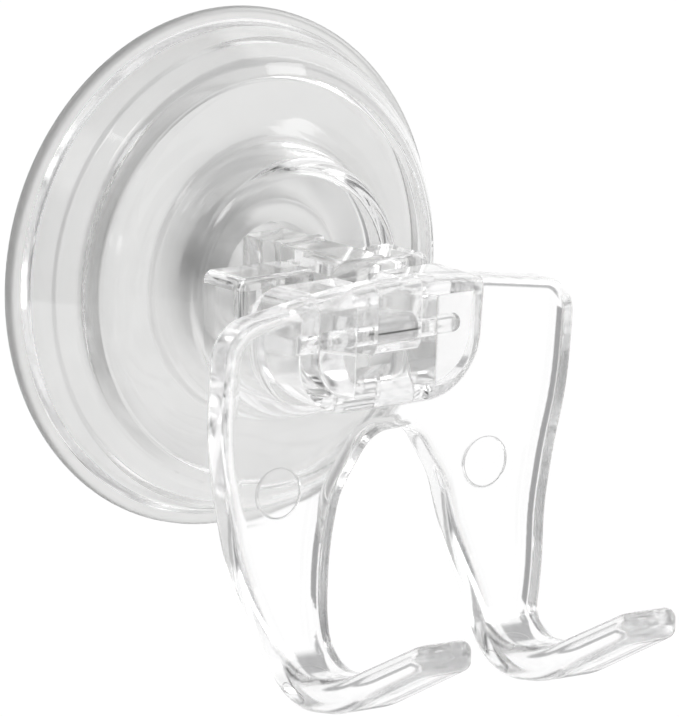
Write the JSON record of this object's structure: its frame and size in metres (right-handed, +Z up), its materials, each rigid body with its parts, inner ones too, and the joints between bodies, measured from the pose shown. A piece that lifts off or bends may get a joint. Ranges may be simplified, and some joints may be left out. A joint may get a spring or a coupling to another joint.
{
  "type": "suction cup hook",
  "caption": "Clear suction cup with a hard bell cover and a hinged double hook plate; pressing the hook down turns a cam that pulls the cup tight against the wall.",
  "frame": {"origin": "the cup's axis where it meets the wall, at the back of the sealing face", "axes": "+Y goes into the wall, +Z up, +X to the right of someone facing the wall; the hook stands out along -Y"},
  "size_m": [0.085, 0.0927, 0.103],
  "materials": {
    "soft_clear": "soft clear vinyl, glossy",
    "hard_clear": "rigid clear plastic, polished"
  },
  "bodies": {
    "base": {"suction_cup": "soft_clear", "dome_cover": "hard_clear"},
    "plunger": {"stem": "hard_clear", "pivot_pin": "hard_clear"},
    "lever": {"hook": "hard_clear"}
  },
  "joints": [
    {"name": "stem_slide", "type": "slide", "parent": "base", "child": "plunger", "axis": [0, 1, 0], "range_m": [0, 0.0033]},
    {"name": "hook_lift", "type": "hinge", "parent": "plunger", "child": "lever", "pos_m": [0, -0.0455, -0.003], "axis": [-1, 0, 0], "range_deg": [0, 90]}
  ],
  "couplings": [
    {"joint": "stem_slide", "follows": "hook_lift", "m_per_rad": 0.0021}
  ]
}
